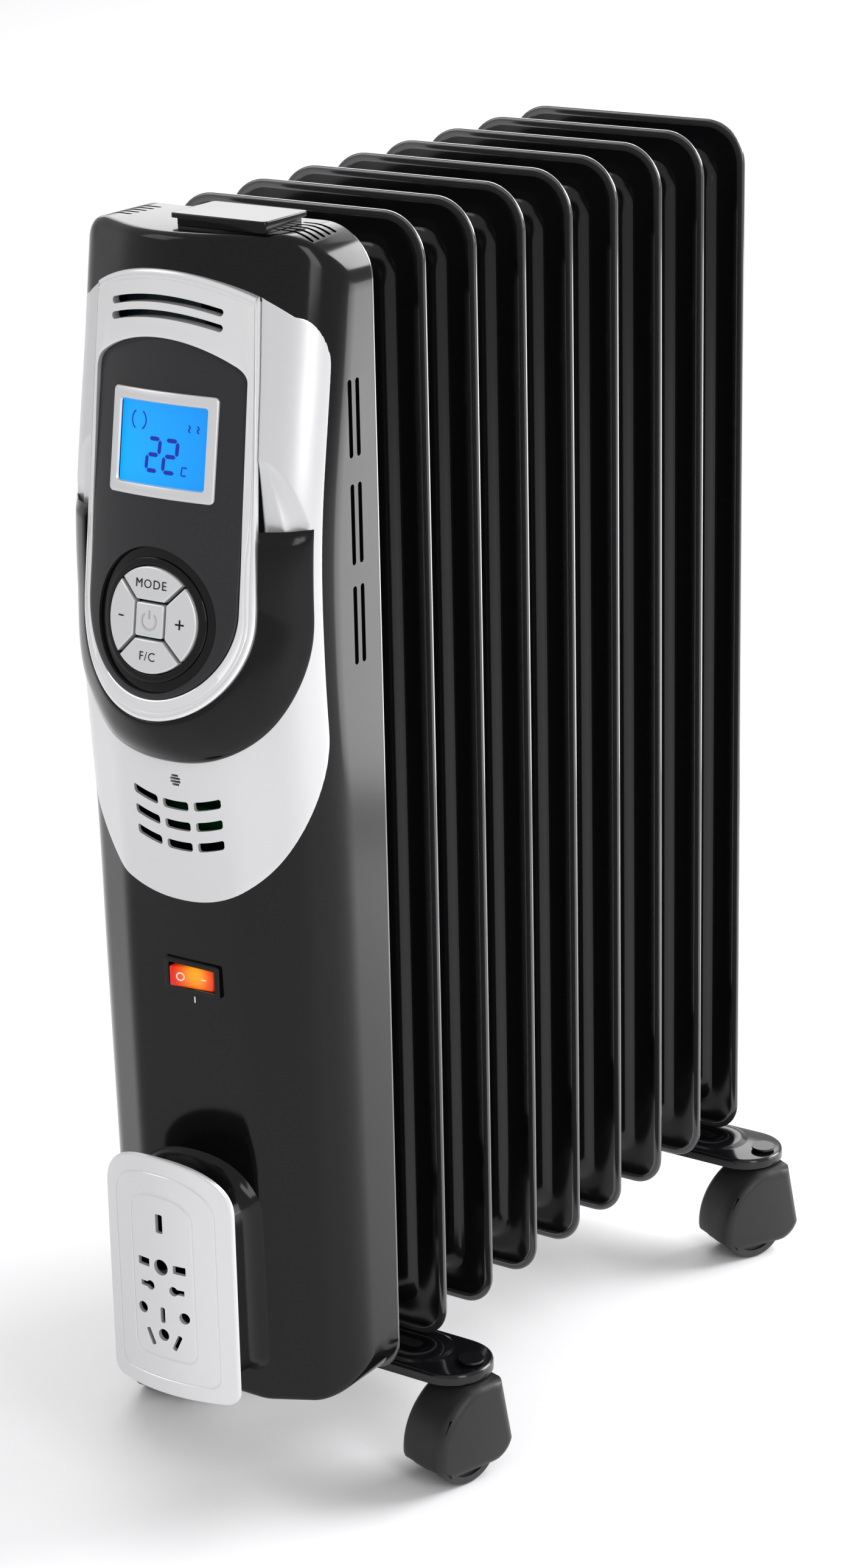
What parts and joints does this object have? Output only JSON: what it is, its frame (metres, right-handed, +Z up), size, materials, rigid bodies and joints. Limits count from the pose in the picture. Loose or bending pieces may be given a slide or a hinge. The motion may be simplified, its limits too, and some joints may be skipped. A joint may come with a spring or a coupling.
{
  "type": "oil filled radiator heater",
  "caption": "Upright oil filled radiator with black fins, a front housing with display, keys and rocker switch, a plug parking plate and swivel castors.",
  "frame": {"origin": "on the floor, under the centre of the heater's overall length and width", "axes": "+Z up, -Y towards the control panel, +X to the right of someone facing the panel"},
  "size_m": [0.2316, 0.4536, 0.648],
  "materials": {
    "black_enamel": "gloss black enamel",
    "black_bracket": "gloss black powder coat on pressed steel",
    "zinc": "zinc plated",
    "element_steel": "dull stainless tube and flange",
    "plate_steel": "galvanised sheet",
    "housing_black": "gloss black moulding",
    "silver": "satin silver lacquer",
    "panel_grey": "satin dark grey",
    "screen_window": "clear window",
    "screen_blue": "blue backlit liquid crystal display",
    "rocker_red": "translucent red, lit from inside",
    "board_green": "circuit board laminate",
    "switch_case": "moulded switch case",
    "hood_grey": "textured dark grey moulding",
    "wheel_black": "hard black moulding"
  },
  "bodies": {
    "heater": {"fin_1": "black_enamel", "fin_2": "black_enamel", "fin_3": "black_enamel", "fin_4": "black_enamel", "fin_5": "black_enamel", "fin_6": "black_enamel", "fin_7": "black_enamel", "fin_8": "black_enamel", "fin_9": "black_enamel", "collector_upper": "black_enamel", "collector_lower": "black_enamel", "foot_bracket_front": "black_bracket", "foot_bracket_rear": "black_bracket", "u_bolts": "zinc", "wing_nuts": "zinc", "castor_pins": "zinc", "housing_shell": "housing_black", "back_plate": "plate_steel", "bezel_panel": "silver", "panel_surround": "silver", "control_panel": "panel_grey", "display_frame": "silver", "display_window": "screen_window", "lcd_module": "screen_blue", "keypad_ring": "housing_black", "grip_band": "housing_black", "rocker_frame": "housing_black", "plug_plate": "silver", "cord_hub": "housing_black", "cord_gland": "housing_black", "top_cap": "housing_black", "control_board": "board_green", "power_board": "board_green", "thermal_cutout": "zinc", "tilt_switch": "switch_case", "heating_element": "element_steel", "element_flange": "element_steel", "housing_screws": "zinc"},
    "key_mode": {"button_mode": "silver"},
    "key_fc": {"button_fc": "silver"},
    "key_minus": {"button_minus": "silver"},
    "key_plus": {"button_plus": "silver"},
    "key_power": {"button_power": "silver"},
    "rocker": {"rocker_lever": "rocker_red"},
    "castor_fl": {"castor_hood_fl": "hood_grey", "castor_axle_fl": "zinc"},
    "roller_fl_left": {"wheel_fl_left": "wheel_black"},
    "roller_fl_right": {"wheel_fl_right": "wheel_black"},
    "castor_fr": {"castor_hood_fr": "hood_grey", "castor_axle_fr": "zinc"},
    "roller_fr_left": {"wheel_fr_left": "wheel_black"},
    "roller_fr_right": {"wheel_fr_right": "wheel_black"},
    "castor_rl": {"castor_hood_rl": "hood_grey", "castor_axle_rl": "zinc"},
    "roller_rl_left": {"wheel_rl_left": "wheel_black"},
    "roller_rl_right": {"wheel_rl_right": "wheel_black"},
    "castor_rr": {"castor_hood_rr": "hood_grey", "castor_axle_rr": "zinc"},
    "roller_rr_left": {"wheel_rr_left": "wheel_black"},
    "roller_rr_right": {"wheel_rr_right": "wheel_black"}
  },
  "joints": [
    {"name": "mode_press", "type": "slide", "parent": "heater", "child": "key_mode", "axis": [0, 0.9874, -0.1582], "range_m": [0, 0.0008], "stiffness_N_per_m": 900},
    {"name": "fc_press", "type": "slide", "parent": "heater", "child": "key_fc", "axis": [0, 0.9874, -0.1582], "range_m": [0, 0.0008], "stiffness_N_per_m": 900},
    {"name": "minus_press", "type": "slide", "parent": "heater", "child": "key_minus", "axis": [0, 0.9874, -0.1582], "range_m": [0, 0.0008], "stiffness_N_per_m": 900},
    {"name": "plus_press", "type": "slide", "parent": "heater", "child": "key_plus", "axis": [0, 0.9874, -0.1582], "range_m": [0, 0.0008], "stiffness_N_per_m": 900},
    {"name": "power_press", "type": "slide", "parent": "heater", "child": "key_power", "axis": [0, 0.9874, -0.1582], "range_m": [0, 0.0008], "stiffness_N_per_m": 900},
    {"name": "rocker_tilt", "type": "hinge", "parent": "heater", "child": "rocker", "pos_m": [0.0045, -0.19414, 0.284], "axis": [0, 0, -1], "range_deg": [0, 16]},
    {"name": "castor_fl_swivel", "type": "hinge", "parent": "heater", "child": "castor_fl", "pos_m": [-0.0945, -0.09775, 0.045], "axis": [0, 0, 1], "continuous": true},
    {"name": "wheel_fl_left_spin", "type": "hinge", "parent": "castor_fl", "child": "roller_fl_left", "pos_m": [-0.09064, -0.11121, 0.019], "axis": [0.9613, 0.2756, 0], "continuous": true},
    {"name": "wheel_fl_right_spin", "type": "hinge", "parent": "castor_fl", "child": "roller_fl_right", "pos_m": [-0.09064, -0.11121, 0.019], "axis": [0.9613, 0.2756, 0], "continuous": true},
    {"name": "castor_fr_swivel", "type": "hinge", "parent": "heater", "child": "castor_fr", "pos_m": [0.0945, -0.09775, 0.045], "axis": [0, 0, 1], "continuous": true},
    {"name": "wheel_fr_left_spin", "type": "hinge", "parent": "castor_fr", "child": "roller_fr_left", "pos_m": [0.09064, -0.11121, 0.019], "axis": [0.9613, -0.2756, 0], "continuous": true},
    {"name": "wheel_fr_right_spin", "type": "hinge", "parent": "castor_fr", "child": "roller_fr_right", "pos_m": [0.09064, -0.11121, 0.019], "axis": [0.9613, -0.2756, 0], "continuous": true},
    {"name": "castor_rl_swivel", "type": "hinge", "parent": "heater", "child": "castor_rl", "pos_m": [-0.0945, 0.20525, 0.045], "axis": [0, 0, 1], "continuous": true},
    {"name": "wheel_rl_left_spin", "type": "hinge", "parent": "castor_rl", "child": "roller_rl_left", "pos_m": [-0.08814, 0.19278, 0.019], "axis": [0.891, 0.454, 0], "continuous": true},
    {"name": "wheel_rl_right_spin", "type": "hinge", "parent": "castor_rl", "child": "roller_rl_right", "pos_m": [-0.08814, 0.19278, 0.019], "axis": [0.891, 0.454, 0], "continuous": true},
    {"name": "castor_rr_swivel", "type": "hinge", "parent": "heater", "child": "castor_rr", "pos_m": [0.0945, 0.20525, 0.045], "axis": [0, 0, 1], "continuous": true},
    {"name": "wheel_rr_left_spin", "type": "hinge", "parent": "castor_rr", "child": "roller_rr_left", "pos_m": [0.08814, 0.19278, 0.019], "axis": [0.891, -0.454, 0], "continuous": true},
    {"name": "wheel_rr_right_spin", "type": "hinge", "parent": "castor_rr", "child": "roller_rr_right", "pos_m": [0.08814, 0.19278, 0.019], "axis": [0.891, -0.454, 0], "continuous": true}
  ]
}
